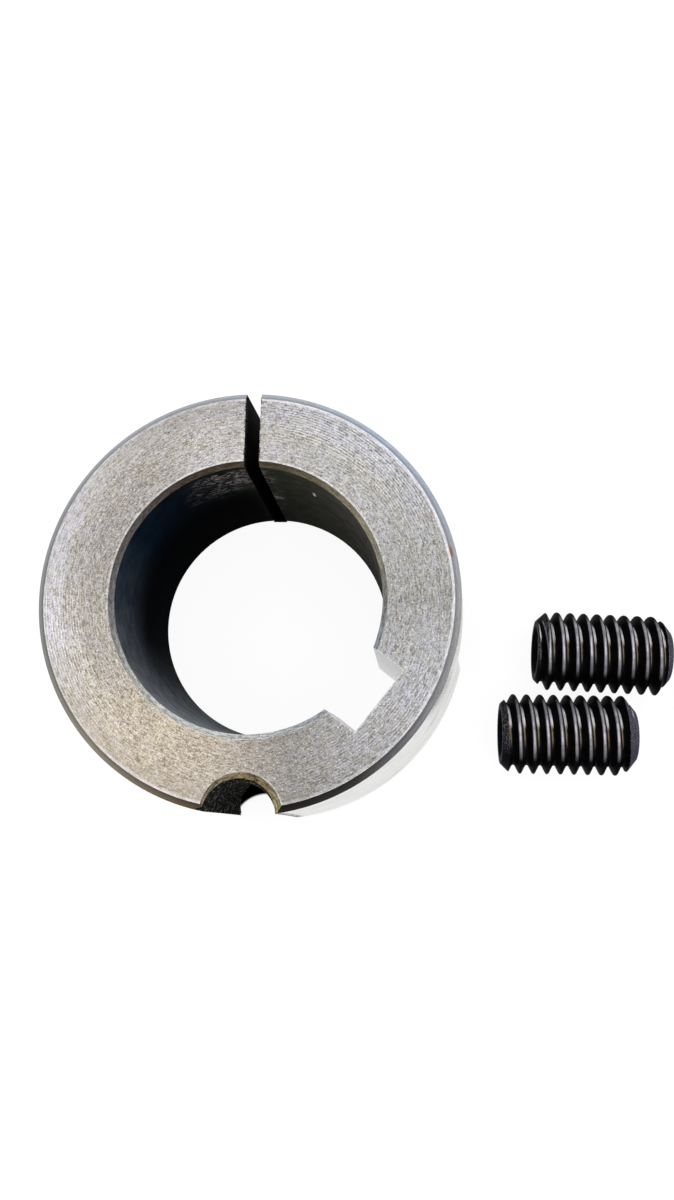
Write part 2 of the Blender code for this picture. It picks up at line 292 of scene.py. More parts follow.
class Graph:
    """Adds nodes to one tree of shader nodes or Geometry Nodes."""

    COLUMNS = 14
    SPACING = (190.0, 240.0)

    def __init__(self, tree):
        self.tree = tree
        tree.nodes.clear()

    def node(self, kind, settings=None, inputs=None):
        """Add a node of a kind, with its settings first and then its sockets' values or links."""
        place = len(self.tree.nodes)
        node = self.tree.nodes.new(kind)
        node.location = (place % self.COLUMNS * self.SPACING[0],
                         -(place // self.COLUMNS) * self.SPACING[1])
        for name, value in (settings or {}).items():
            if name == "stops":
                self.set_stops(node.color_ramp.elements, value)
            elif name == "choices":
                while len(node.index_switch_items) < value:
                    node.index_switch_items.new()
            else:
                setattr(node, name, value)
        for key, value in (inputs or {}).items():
            if isinstance(value, Value):
                self.tree.links.new(value.socket, node.inputs[key])
            else:
                node.inputs[key].default_value = value
        return Outputs(self, node)

    @staticmethod
    def set_stops(elements, stops):
        """Give a ramp its stops, as pairs of place and colour."""
        while len(elements) < len(stops):
            elements.new(1.0)
        for element, (place, tint) in zip(elements, stops):
            element.position = place
            element.color = (*tint, 1.0)

    def math(self, operation, *values):
        """A Math node on values and plain numbers."""
        return self.node("ShaderNodeMath", {"operation": operation}, dict(enumerate(values)))[0]

    def between(self, value, low, high):
        """0 up to low and 1 from high on, with a smooth step between. Low may be the larger."""
        return self.node("ShaderNodeMapRange", {"interpolation_type": "SMOOTHSTEP"},
                         {"Value": value, "From Min": low, "From Max": high})[0]

    def window(self, value, start, full, fading, end):
        """0 up to the start, 1 from full to fading, and 0 again from the end on."""
        return self.between(value, start, full) * self.between(value, end, fading)

    def apart(self, first, second):
        """The distance between two points."""
        return self.node("ShaderNodeVectorMath", {"operation": "DISTANCE"},
                         {0: first, 1: second})["Value"]

    def point(self, x, y, z):
        """A vector from three values."""
        return self.node("ShaderNodeCombineXYZ", None, {0: x, 1: y, 2: z})[0]

    def split(self, vector):
        """The x, y and z of a vector."""
        parts = self.node("ShaderNodeSeparateXYZ", None, {0: vector})
        return parts[0], parts[1], parts[2]

    def mix(self, factor, first, second, blend="MIX"):
        """A colour between two colours, or their blend."""
        first, second = (tint if isinstance(tint, Value) else (*tint, 1.0)
                         for tint in (first, second))
        return self.node("ShaderNodeMix", {"data_type": "RGBA", "blend_type": blend},
                         {0: factor, 6: first, 7: second})[2]

    def scaled(self, tint, factor):
        """A colour or vector times a value."""
        tint = tint if isinstance(tint, Value) else Vector(tint)
        return self.node("ShaderNodeVectorMath", {"operation": "SCALE"},
                         {0: tint, "Scale": factor})[0]

    def noise(self, place, fineness, detail=2.0, roughness=0.5, span=None):
        """Noise with a number of bumps for each unit of its place.

        A span of two of its values stretches it, so that they come out as 0 and 1.
        """
        noise = self.node("ShaderNodeTexNoise", None,
                          {"Vector": place, "Scale": fineness, "Detail": detail,
                           "Roughness": roughness})[0]
        return self.between(noise, *span) if span else noise

    def cells(self, place, fineness):
        """(Distance to the nearest point, one random number for each point) of scattered points."""
        found = self.node("ShaderNodeTexVoronoi", None, {"Vector": place, "Scale": fineness})
        chance = self.node("ShaderNodeSeparateColor", None, {0: found["Color"]})[0]
        return found["Distance"], chance


def new_finish(name):
    """An empty material and the graph for its nodes."""
    material = bpy.data.materials.new(name)
    material.use_nodes = True
    return material, Graph(material.node_tree)


def end_finish(graph, inputs, height, relief):
    """Finish a material: the shader's inputs, and how deep in metres a height of 1 stands up."""
    bump = graph.node("ShaderNodeBump", None,
                      {"Strength": 1.0, "Distance": relief, "Height": height})
    shader = graph.node("ShaderNodeBsdfPrincipled", None, {**inputs, "Normal": bump["Normal"]})
    graph.node("ShaderNodeOutputMaterial", None, {"Surface": shader["BSDF"]})


def in_millimetres(graph, origin=(0.0, 0.0, 0.0)):
    """The place on the piece from an origin, in millimetres, as a vector and as x, y and z."""
    place = graph.node("ShaderNodeTexCoord")["Object"]
    moved = graph.node("ShaderNodeMapping", None,
                       {"Vector": place, "Location": [-value / MM for value in origin],
                        "Scale": (1 / MM, 1 / MM, 1 / MM)})[0]
    return moved, *graph.split(moved)


def about_the_bore(graph):
    """(Place, distance from the bore axis, height, turn from 0 to 1 about it) of a point."""
    place, x, y, height = in_millimetres(graph, BORE_FOOT)
    radius = graph.math("SQRT", x * x + y * y)
    turn = graph.math("FRACT", graph.math("ARCTAN2", y, x) / TAU + 1.0)
    return place, radius, height, turn


def tint_round(graph, turn, stops):
    """A tint that changes round the bore, from stops of degrees and a tint or a grey."""
    tints = [(degrees / 360, tint if isinstance(tint, tuple) else (tint, tint, tint))
             for degrees, tint in stops]
    return graph.node("ShaderNodeValToRGB", {"stops": tints}, {0: turn})[0]


def screw_circle(sizes):
    """Distance from the bore axis to the middles of the half-holes."""
    return sizes.bore / 2 + sizes.wall - sizes.screw_circle_inset


def face_edge(sizes):
    """Distance from the bore axis to the outer edge of the small end's face."""
    return (sizes.bore / 2 + sizes.wall - sizes.length * math.tan(sizes.taper)
            - sizes.rim_chamfer)


def keyway_place(graph, sizes, place):
    """(Distance out along the keyway's middle, distance to one side of it), in millimetres."""
    turned = graph.node("ShaderNodeVectorRotate", {"rotation_type": "Z_AXIS"},
                        {"Vector": place, "Angle": -sizes.keyway_angle})[0]
    return graph.split(turned)[:2]


def near_line(graph, value, line, width):
    """1 on a line, fading to 0 at a width to both sides of it."""
    return graph.between(abs(value - line), width, width * 0.4)


# Tints and greys round the bore, each with its degrees: 0 is the set screws' side, 90 the saw
# cut and 270 the removal half-hole. The three for the faces multiply the iron's own colour.
# They paint light and shade: brighter and darker sectors round the bore, a painted highlight
# along the face's rim, and on the chamfers and in the bore their own colour lit and shaded
# side by side as the light falls.
FACE_TINTS_AND_LIGHT = (
    (0, (0.79, 0.79, 0.77)), (55, (1.15, 1.14, 1.13)), (105, (1.14, 1.10, 1.07)),
    (125, (0.99, 0.95, 0.90)), (165, (1.00, 0.95, 0.89)), (195, (1.28, 1.22, 1.14)),
    (225, (1.32, 1.18, 0.98)), (240, (1.27, 1.13, 0.91)), (262, (1.08, 0.96, 0.81)),
    (285, (0.68, 0.65, 0.61)), (332, (0.98, 0.99, 1.04)), (347, (0.91, 0.91, 0.93)),
    (360, (0.79, 0.79, 0.77)))
FACE_LIGHT_BY_BORE = (
    (0, 0.98), (46, 0.95), (70, 0.90), (90, 1.00), (112, 1.03), (124, 0.96), (136, 0.88),
    (184, 0.83), (200, 0.77), (212, 0.84), (225, 0.93), (240, 1.00), (344, 0.97), (360, 0.98))
FACE_LIGHT_BY_RIM = (
    (0, 0.98), (22, (1.04, 1.05, 1.08)), (34, (1.06, 1.08, 1.19)), (82, (1.02, 1.04, 1.13)),
    (100, (0.90, 0.90, 0.92)), (115, (0.94, 0.94, 0.95)), (136, (1.28, 1.29, 1.34)),
    (160, (1.40, 1.46, 1.61)), (184, (1.36, 1.42, 1.58)), (200, (1.14, 1.17, 1.25)),
    (214, (1.00, 1.00, 1.01)), (290, 0.95), (320, 1.00), (350, (1.08, 1.08, 1.12)), (360, 0.98))
RIM_HIGHLIGHT = (
    (0, 0.75), (80, 0.85), (105, 0.35), (165, 0.30), (185, 0.0), (205, 0.1), (230, 0.7),
    (255, 0.8), (285, 0.3), (345, 0.55), (360, 0.75))
RIM_CHAMFER_TINTS_AND_LIGHT = (
    (0, (0.42, 0.42, 0.43)), (50, (0.45, 0.53, 0.65)), (75, (0.45, 0.49, 0.55)),
    (130, (0.385, 0.41, 0.445)), (195, (0.26, 0.26, 0.25)), (225, (0.31, 0.275, 0.21)),
    (255, (0.125, 0.088, 0.053)), (282, (0.010, 0.008, 0.008)), (302, (0.038, 0.038, 0.035)),
    (330, (0.29, 0.29, 0.31)), (360, (0.42, 0.42, 0.43)))
BORE_CHAMFER_TINTS_AND_LIGHT = (
    (0, (0.32, 0.32, 0.29)), (32, (0.39, 0.345, 0.24)), (75, (0.112, 0.090, 0.056)),
    (120, (0.076, 0.056, 0.044)), (165, (0.155, 0.145, 0.14)), (192, (0.27, 0.27, 0.28)),
    (212, (0.54, 0.54, 0.51)), (232, (0.70, 0.71, 0.68)), (262, (0.86, 0.88, 0.85)),
    (300, (0.55, 0.59, 0.64)), (345, (0.40, 0.44, 0.49)), (360, (0.32, 0.32, 0.29)))
BORE_TINTS_AND_LIGHT = (
    (0, (0.125, 0.118, 0.105)), (40, (0.105, 0.102, 0.088)), (75, (0.052, 0.052, 0.041)),
    (105, (0.010, 0.013, 0.016)), (130, (0.005, 0.010, 0.018)), (150, (0.006, 0.016, 0.032)),
    (180, (0.048, 0.064, 0.088)), (210, (0.150, 0.168, 0.196)), (245, (0.36, 0.385, 0.43)),
    (300, (0.16, 0.165, 0.17)), (360, (0.125, 0.118, 0.105)))

# The turning tool's feed for a turn, in millimetres, on the faces and on the tapered seat.
FACE_FEED = 0.275
TAPER_FEED = 0.24
# How far a mark that runs round the bore by one radian moves through the noise.
ARC_REACH = 3.6
# Where the rust stain and the bright nick in the bore lie, in degrees and millimetres.
RUST_DEGREES = 13.3
NICK_DEGREES = 64.0
NICK_HEIGHT = 19.0
# How far from the top the set screws' painted highlights lean on their crests and on their
# flanks, in degrees, and the cosine of the angle from there within which they are full.
CREST_LEAN = 9.0
FLANK_LEAN = 17.0
HIGHLIGHT_FULLY = math.cos(math.radians(8.0))


def turned_face(sizes, finish):
    """The end faces: grey iron with fine rings from the turning tool, mottled by old oil, and
    lighter and darker in sectors round the bore as painted light and shade.

    The side away from the set screws has stronger marks, and along the rim a band of painted
    light and shade that is palest on that side.
    """
    material, graph = new_finish("turned_face")
    place, radius, _, turn = about_the_bore(graph)
    grain, streaks, clouds, bands, rings = face_marks(graph, place, radius, turn)

    on_left = graph.window(turn * 360.0, 88.0, 110.0, 255.0, 275.0)
    ragged = radius + (clouds - 0.5) * 1.6
    rim_band = graph.between(ragged, 18.4, 20.5)
    depth = 0.86 + on_left * (0.16 - rim_band * 0.42)
    tone = (0.95 + (grain * 0.46 + streaks * 0.54 - 0.5) * depth + (clouds - 0.5) * 0.28
            + (bands - 0.5) * 0.38 + rings * 0.62)
    hue = graph.mix(graph.between(clouds + bands, 0.80, 1.20), (1.03, 1.01, 0.95),
                    (0.985, 0.98, 1.025))
    iron = finish.iron
    # Painted light and shade: the tints round the bore, near the bore and along the rim make
    # sectors of the face lighter and darker.
    for share_of_tint, tint in (
            (1.0, tint_round(graph, turn, FACE_TINTS_AND_LIGHT)), (1.0, hue),
            (graph.between(ragged, 17.8, 17.1), tint_round(graph, turn, FACE_LIGHT_BY_BORE)),
            (rim_band, tint_round(graph, turn, FACE_LIGHT_BY_RIM))):
        iron = graph.mix(share_of_tint, iron, tint, "MULTIPLY")
    iron = graph.scaled(iron, tone)

    low = graph.between(grain * 0.6 + streaks * 1.4, 0.72, 0.20)
    patchy = graph.noise(place, 0.35, 3.0, 0.6, (0.40, 0.62))
    oiled = low * (0.18 + patchy * 0.28)
    base = graph.mix(oiled, iron, graph.mix(on_left, finish.dry_oil, finish.thin_oil))

    specks = graph.noise(place, 5.0, 1.0, 0.5, (0.64, 0.74))
    pit, pit_chance = graph.cells(place, 0.9)
    pits = graph.between(pit, 0.11, 0.05) * (pit_chance > 0.92)
    base = graph.mix(specks * 0.42, base, (0.95, 0.95, 0.95))
    base = graph.mix(pits * 0.7, base, finish.pit)
    # Bright edges: wear with a painted highlight on it; dark chips by the saw cut.
    worn_and_lit, chipped = worn_and_lit_edges(graph, sizes, place, radius, turn)
    base = graph.mix(worn_and_lit * (0.55 + streaks * 0.35), base, finish.worn_and_lit)
    base = graph.mix(chipped * (grain < 0.55) * 0.9, base, finish.sawn)

    relief = grain * 0.5 + streaks * 0.5 + rings * 0.8 - pits
    end_finish(graph, {"Base Color": base, "Metallic": 0.55,
                       "Roughness": 0.55 - grain * 0.12 - specks * 0.15 + oiled * 0.2},
               relief, 0.010 * MM)
    return material


def face_marks(graph, place, radius, turn):
    """(Grain, short streaks, clouds, broad bands, fine rings) of a turned face."""
    around = turn * TAU
    arc = graph.point(radius, graph.math("COSINE", around) * ARC_REACH,
                      graph.math("SINE", around) * ARC_REACH)
    grain = graph.noise(place, 6.4, 2.0, 0.55, (0.32, 0.68))
    streaks = graph.noise(arc, 7.4, 2.0, 0.6, (0.32, 0.68))
    clouds = graph.noise(place, 0.8, 3.0, 0.6)
    bands = graph.noise(graph.point(radius, graph.scaled(arc, 0.2), 0.0), 0.9, 3.0, 0.6)

    wander = graph.noise(arc, 0.3, 1.0)
    wave = graph.math("SINE", (radius + wander * 0.35) * (TAU / FACE_FEED)) * 0.5
    degrees = turn * 360.0
    ringed = (graph.window(degrees, 12.0, 35.0, 78.0, 86.0)
              + graph.window(degrees, 170.0, 185.0, 208.0, 228.0) * 0.6
              + graph.window(degrees, 282.0, 295.0, 325.0, 345.0) * 0.6)
    strength = ringed * graph.between(radius, 16.0, 18.5) * 0.70 + 0.10
    return grain, streaks, clouds, bands, wave * strength


def worn_and_lit_edges(graph, sizes, place, radius, turn):
    """(Where a face's edges are worn bright with a painted highlight, where they are chipped dark
    beside the saw cut).
    """
    x, y, _ = graph.split(place)
    out, aside = keyway_place(graph, sizes, place)
    floor = (sizes.bore / 2 + sizes.keyway_depth) / MM
    side = sizes.keyway_width / 2 / MM
    by_keyway = (near_line(graph, out, floor, 0.16) * (abs(aside) < side)
                 + near_line(graph, abs(aside), side, 0.13) * (out < floor) * (out > 0.0))

    rim = face_edge(sizes) / MM
    # The rim's and the mouth's bright lines change round the bore: a painted highlight on the worn
    # edge.
    by_rim = near_line(graph, radius, rim - 0.13, 0.22) * tint_round(graph, turn, RIM_HIGHLIGHT)
    mouth = (sizes.bore / 2 + sizes.bore_chamfer) / MM
    mouth_shine = 0.1 + graph.window(turn * 360.0, 8.0, 30.0, 165.0, 200.0)
    by_mouth = near_line(graph, radius, mouth + 0.12, 0.14) * mouth_shine * 0.45

    middle = (sizes.sink_drift / MM, (sizes.sink_inset - screw_circle(sizes)) / MM, 0.0)
    from_hole = graph.apart(graph.point(x, y, 0.0), middle)
    by_sink = (near_line(graph, from_hole, sizes.countersink / 2 / MM + 0.07, 0.09)
               * (0.15 + graph.between(x, 1.5, 3.0) * 0.35))
    cut = sizes.saw_width / 2 / MM
    by_cut = graph.between(abs(x), cut + 0.17, cut + 0.05) * (y > 0.0)
    return by_keyway * 0.5 + by_rim + by_mouth + by_sink, by_cut


def chamfered_edge(sizes, finish):
    """The chamfers: cut bright, with painted light and shade round the bore, brown and darkest
    along one side.
    """
    material, graph = new_finish("chamfered_edge")
    place, radius, height, turn = about_the_bore(graph)
    bore = sizes.bore / 2 / MM
    outer = radius > bore + sizes.wall / 2 / MM
    # The tints round the bore are the chamfers' colour with painted light and shade: dark where a
    # chamfer faces away from the light.
    tint = graph.mix(outer, tint_round(graph, turn, BORE_CHAMFER_TINTS_AND_LIGHT),
                     tint_round(graph, turn, RIM_CHAMFER_TINTS_AND_LIGHT))

    rim = face_edge(sizes) / MM
    over_rim = graph.between(radius, rim + 0.08, rim + 0.40)
    over_mouth = graph.between(radius, bore + sizes.bore_chamfer / MM - 0.05, bore + 0.10)
    shade = (0.72 + over_rim * 0.34) * outer + (0.80 + over_mouth * 0.36) * (1.0 - outer)
    streaks = graph.noise(graph.point(turn * 20.0, radius, height), 6.0, 3.0, 0.65,
                          (0.30, 0.70))
    grain = graph.noise(place, 5.0, 3.0, 0.7, (0.32, 0.68))
    marks = 0.38 + (streaks * 0.80 + grain * 0.44) * (1.0 - outer * 0.60) + outer * 0.37
    tint = graph.scaled(tint, shade * marks)

    stain = (graph.between(abs(turn * 360.0 - RUST_DEGREES), 1.9, 0.6)
             * graph.between(radius, rim + 0.42, rim + 0.25))
    base = graph.mix(stain * outer * 0.75, tint, finish.rust)
    end_finish(graph, {"Base Color": base, "Metallic": 0.6, "Specular IOR Level": 0.15,
                       "Roughness": 0.42 + streaks * 0.15}, streaks + grain, 0.008 * MM)
    return material


def ground_taper(sizes, finish):
    """The tapered seat: finely turned, wiped bright on the screws' side and oily behind."""
    material, graph = new_finish("ground_taper")
    place, _, height, turn = about_the_bore(graph)
    feed = graph.math("SINE", height * (TAU / TAPER_FEED)) * 0.5 + 0.5
    lines = graph.noise(graph.point(turn * 16.0, 0.0, height), 4.0, 3.0, 0.6, (0.30, 0.70))
    bands = graph.noise(graph.point(turn * 5.0, 0.0, height), 1.1, 4.0, 0.65, (0.30, 0.70))
    grain = graph.noise(place, 4.0, 3.0, 0.6)
    behind = graph.window(turn * 360.0, 2.0, 40.0, 225.0, 262.0)
    oiled = graph.noise(graph.point(turn * 24.0, 0.0, height * 0.35), 0.9, 5.0, 0.65,
                        (0.46, 0.72))
    base = graph.mix(oiled * (0.12 + behind * 0.22), finish.seat, finish.dry_oil)
    base = graph.scaled(base, (0.76 + grain * 0.16 + feed * 0.04 + lines * 0.14 + bands * 0.12)
                        * (1.0 - behind * 0.24))
    end_finish(graph, {"Base Color": base, "Metallic": 0.85,
                       "Roughness": 0.20 + grain * 0.12 + oiled * 0.14},
               feed * 0.7 + grain * 0.5 + lines * 0.7, 0.003 * MM)
    return material


def bored_wall(sizes, finish):
    """The bore: dark, with painted light on one side and painted shade deeper down the other, and
    torn beside the saw cut.
    """
    material, graph = new_finish("bored_wall")
    place, _, height, turn = about_the_bore(graph)
    degrees = turn * 360.0
    from_top = sizes.length / MM - height
    marks = graph.noise(graph.point(turn * 22.0, height * 1.6, 0.0), 2.6, 4.0, 0.65,
                        (0.28, 0.72))
    patches = graph.noise(place, 0.5, 3.0, 0.6, (0.35, 0.65))
    # Painted shade: from the saw cut round to the far side the wall darkens deeper down; the tints
    # round the bore paint light where it falls in.
    on_left = graph.window(degrees, 85.0, 100.0, 188.0, 232.0)
    shade = 1.0 - graph.between(from_top, 5.0, 15.0) * on_left * 0.95
    base = graph.scaled(tint_round(graph, turn, BORE_TINTS_AND_LIGHT),
                        (0.50 + marks * 0.65 + patches * 0.35) * shade)

    sway = graph.noise(graph.point(turn * 30.0, height * 0.5, 3.0), 1.0, 2.0)
    torn = graph.noise(graph.point(turn * 52.0 + sway * 2.0, height * 1.7 + sway * 4.0, 0.0), 1.9,
                       5.0, 0.82)
    edge = graph.noise(graph.point(turn * 16.0, 0.0, 0.0), 1.5, 2.0)
    left = graph.window(degrees, 91.0, 93.5, 102.0, 128.0)
    over_left = (graph.between(from_top, 0.7, 1.6)
                 * graph.between(from_top - edge * 7.0, 7.5, 2.0))
    right = graph.window(degrees, 79.0, 84.5, 86.6, 87.6)
    over_right = graph.window(from_top, 0.8, 2.0, 9.0, 22.0)
    clumps = graph.noise(graph.point(turn * 20.0, height * 0.5, 5.0), 1.2, 2.0, 0.5,
                         (0.38, 0.58))
    scuffed = (graph.between(torn, 0.50, 0.585) * left * over_left
               + graph.between(torn, 0.50, 0.60) * right * over_right * 0.8)
    scuffed = scuffed * (0.12 + clumps * 0.88)
    base = graph.mix(scuffed * 0.9, base, finish.scuff)
    nick = (graph.between(abs(degrees - NICK_DEGREES), 0.9, 0.4)
            * graph.between(abs(height - NICK_HEIGHT), 0.8, 0.4))
    base = graph.mix(nick, base, (1.0, 1.0, 0.97))
    end_finish(graph, {"Base Color": base, "Roughness": 0.60 + marks * 0.2,
                       "Specular IOR Level": 0.001}, marks + scuffed * 2.0, 0.012 * MM)
    return material


def broached_keyway(sizes, finish):
    """The keyway: drawn lengthwise and left bright."""
    material, graph = new_finish("broached_keyway")
    _, x, y, z = in_millimetres(graph, BORE_FOOT)
    marks = graph.noise(graph.point(x * 6.0, y * 6.0, z * 0.25), 1.0, 4.0, 0.6)
    base = graph.scaled(finish.broached, 0.80 + marks * 0.4)
    end_finish(graph, {"Base Color": base, "Metallic": 0.75, "Roughness": 0.28 + marks * 0.15},
               marks, 0.006 * MM)
    return material


def sawn_wall(sizes, finish):
    """The saw cut: black as painted shade in the narrow cut, with scored lines across and bright
    flecks by the end face.
    """
    material, graph = new_finish("sawn_wall")
    place, x, y, z = in_millimetres(graph, BORE_FOOT)
    scores = graph.noise(graph.point(x, y * 0.5, z * 5.0), 1.2, 4.0, 0.6)
    top = sizes.length / MM
    by_face = 0.06 + graph.between(z, top - 2.2, top - 0.3) * 0.94
    flecks = graph.noise(place, 3.4, 4.0, 0.8, (0.53, 0.62)) * by_face
    base = graph.mix(flecks * 0.8, graph.scaled(finish.sawn, 0.5 + scores), finish.fleck)
    end_finish(graph, {"Base Color": base, "Roughness": 0.6, "Specular IOR Level": 0.003},
               scores + flecks, 0.02 * MM)
    return material


def tapped_wall(sizes, finish):
    """The thread of the removal half-hole: dark oil, with metal that glints through it."""
    material, graph = new_finish("tapped_wall")
    place = in_millimetres(graph, BORE_FOOT)[0]
    glints = graph.noise(place, 3.2, 4.0, 0.8, (0.50, 0.62))
    smears = graph.noise(place, 1.2, 3.0, 0.6)
    base = graph.mix(glints * 0.65, graph.scaled(finish.tapped, 0.2 + smears), finish.glint)
    end_finish(graph, {"Base Color": base, "Roughness": 0.5, "Specular IOR Level": 0.01},
               glints + smears, 0.02 * MM)
    return material


def countersunk_edge(sizes, finish):
    """The countersink of the removal half-hole: brown, lighter by the set screws, streaked where
    the tool chattered.
    """
    material, graph = new_finish("countersunk_edge")
    place, x, y, _ = in_millimetres(graph, (BORE_AXIS_X + sizes.sink_drift,
                                            sizes.sink_inset - screw_circle(sizes), 0.0))
    reach = graph.math("SQRT", x * x + y * y)
    chatter = graph.noise(graph.point(reach * 2.8, x / reach * 2.0, y / reach * 2.0), 2.2, 4.0,
                          0.7, (0.39, 0.61))
    grain = graph.noise(place, 4.5, 3.0, 0.7, (0.35, 0.65))
    tint = graph.mix(graph.between(x, -2.6, 0.0), finish.sink_behind, finish.sink_middle)
    tint = graph.mix(graph.between(x, 2.4, 3.9), tint, finish.sink_ahead)
    base = graph.scaled(tint, 0.05 + chatter * 1.15 + grain * 0.50)
    end_finish(graph, {"Base Color": base, "Metallic": 0.6, "Specular IOR Level": 0.2,
                       "Roughness": 0.36 + chatter * 0.2}, chatter + grain, 0.02 * MM)
    return material


def drilled_wall(sizes, finish):
    """The plain clamping half-holes, as the drill leaves them."""
    material, graph = new_finish("drilled_wall")
    place, _, _, height = in_millimetres(graph, BORE_FOOT)
    marks = graph.noise(graph.point(0.0, 0.0, height), 4.0, 4.0, 0.6)
    smears = graph.noise(place, 0.8, 3.0, 0.6)
    base = graph.scaled(finish.drilled, 0.45 + marks * 0.5 + smears * 0.5)
    end_finish(graph, {"Base Color": base, "Metallic": 0.7, "Roughness": 0.34 + smears * 0.2},
               marks, 0.015 * MM)
    return material


def black_oxide(finish):
    """The set screws: black oxide, with painted highlights on crests and flanks of the top side."""
    material, graph = new_finish("black_oxide")
    place = in_millimetres(graph)[0]
    groove, flank, cone, brim, upward, aside = (
        graph.node("ShaderNodeAttribute", {"attribute_name": name})["Fac"]
        for name in ROD_MARKS)
    grain = graph.noise(place, 5.0, 4.0, 0.7)
    patches = graph.noise(place, 0.9, 3.0, 0.6, (0.30, 0.70))
    threaded = 1.0 - graph.between(cone, 0.0, 0.1)

    def highlight_side(lean, reach):
        """1 where the painted highlight is full, leaning from the top, to 0 at a reach from it."""
        facing = upward * math.cos(math.radians(lean)) + aside * math.sin(math.radians(lean))
        return graph.between(facing, math.cos(math.radians(reach)), HIGHLIGHT_FULLY)

    # Painted highlights on the top side: a line on each crest, a line on the flank near the root, a
    # faint sheen, and the edge of each cone.
    crest = (graph.between(groove, 0.13, 0.03) * highlight_side(CREST_LEAN, 54.0)
             * (0.45 + patches * 0.55))
    upper = graph.between(aside, 0.08, 0.36)
    flanked = (near_line(graph, groove, 0.78, 0.22 + upper * 0.12) * (flank > 0.0)
               * highlight_side(FLANK_LEAN, 46.0) * (0.60 + patches * 0.60))
    sheen = (graph.between(flank, 0.0, 0.9) * highlight_side(CREST_LEAN, 60.0)
             * (0.015 + patches * 0.035))
    rim = (near_line(graph, brim, 0.0, 0.045) * highlight_side(FLANK_LEAN, 50.0)
           * (0.15 + patches * 0.45))
    rubbed = threaded * (crest + sheen) + rim
    black = graph.scaled(finish.black_oxide, 0.6 + patches * 0.9)
    base = graph.mix(rubbed, black, finish.rubbed)
    steel = graph.mix(upper, finish.flank_highlight_below, finish.flank_highlight_above)
    base = graph.mix(threaded * flanked, base, steel)
    mottled = graph.between(cone, 0.2, 0.9) * (0.35 + graph.between(grain, 0.42, 0.62) * 0.65)
    base = graph.mix(mottled, base, finish.cone)
    # Scratches on the cones, shown bright only on the top side as a painted highlight.
    torn = (graph.noise(place, 7.0, 3.0, 0.8, (0.53, 0.60)) * highlight_side(FLANK_LEAN, 60.0)
            * graph.between(cone, 0.05, 0.20))
    base = graph.mix(torn * 0.35, base, finish.rubbed)
    end_finish(graph, {"Base Color": base, "Metallic": graph.between(rubbed, 0.15, 0.6) * 0.8,
                       "Roughness": 0.36 + grain * 0.15, "Specular IOR Level": 0.005},
               grain + cone * grain * 2.0, 0.004 * MM)
    return material


# How close points are welded to one in turned pieces, and the facets of a rounded corner.
WELD_DISTANCE = 1e-7
CORNER_FACETS = 6


def rounded_outline(corners, radius, facets):
    """Round the corners of a closed outline, given as (point, finish of the stretch after it).

    Returns the same kind of list. An arc takes the finish of the chamfer that it belongs to.
    """
    outline = []
    for number, (corner, after) in enumerate(corners):
        before = corners[number - 1][1]
        into = (corner - corners[number - 1][0]).normalized()
        out = (corners[(number + 1) % len(corners)][0] - corner).normalized()
        turn = math.atan2(into.cross(out), into.dot(out))
        start = corner - into * radius * abs(math.tan(turn / 2))
        side = Vector((-into.y, into.x)) * math.copysign(radius, turn)
        centre = start + side
        on_arc = "chamfered_edge" if "chamfered_edge" in (before, after) else after
        for step in range(facets + 1):
            swung = Matrix.Rotation(turn * step / facets, 2) @ (start - centre)
            outline.append((centre + swung, on_arc if step < facets else after))
    return outline


def revolve(name, outline, facets, materials):
    """Turn a closed outline of (radius, height) about Z. A stretch's finish names its material."""
    mesh = bpy.data.meshes.new(name)
    names = list(materials)
    for material in materials.values():
        mesh.materials.append(material)
    rows = len(outline)
    points = []
    for step in range(facets):
        around = TAU * step / facets
        for (reach, height), _ in outline:
            points.append((reach * math.cos(around), reach * math.sin(around), height))
    faces = []
    finishes = []
    for step in range(facets):
        here = step * rows
        there = (step + 1) % facets * rows
        for row, (_, stretch) in enumerate(outline):
            following = (row + 1) % rows
            faces.append((here + row, there + row, there + following, here + following))
            finishes.append(names.index(stretch))
    mesh.from_pydata(points, [], faces)
    mesh.polygons.foreach_set("material_index", finishes)
    return cleaned(mesh)


def cleaned(mesh):
    """Merge what lies in one place and point the faces outwards."""
    shape = bmesh.new()
    shape.from_mesh(mesh)
    bmesh.ops.remove_doubles(shape, verts=shape.verts, dist=WELD_DISTANCE)
    bmesh.ops.recalc_face_normals(shape, faces=shape.faces)
    shape.to_mesh(mesh)
    shape.free()
    return mesh


def mesh_of(name, shape):
    """The mesh of a bmesh, which is freed."""
    mesh = bpy.data.meshes.new(name)
    shape.to_mesh(mesh)
    shape.free()
    return mesh


def added(name, data):
    """A new object in the scene. One that only cuts another is removed once it has cut."""
    thing = bpy.data.objects.new(name, data)
    bpy.context.scene.collection.objects.link(thing)
    return thing


def plain_tool(name, points, facets, material):
    """A turned cutter with one finish."""
    outline = [(Vector(point), "cut") for point in points]
    return added(name, revolve(name, outline, facets, {"cut": material}))


def bar_tool(name, low, high, turn, material, corner=0.0):
    """A bar along X, turned about Z. A corner radius rounds its far upright edges."""
    shape = bmesh.new()
    bmesh.ops.create_cube(shape, size=1.0)
    for point in shape.verts:
        for axis in range(3):
            point.co[axis] = high[axis] if point.co[axis] > 0 else low[axis]
    if corner:
        far = [edge for edge in shape.edges
               if all(point.co.x == high[0] for point in edge.verts)
               and edge.verts[0].co.y == edge.verts[1].co.y]
        bmesh.ops.bevel(shape, geom=far, offset=corner, segments=CORNER_FACETS,
                        affect="EDGES", profile=0.5)
    bmesh.ops.recalc_face_normals(shape, faces=shape.faces)
    mesh = mesh_of(name, shape)
    mesh.materials.append(material)
    mesh.transform(Matrix.Rotation(turn, 4, "Z"))
    return added(name, mesh)


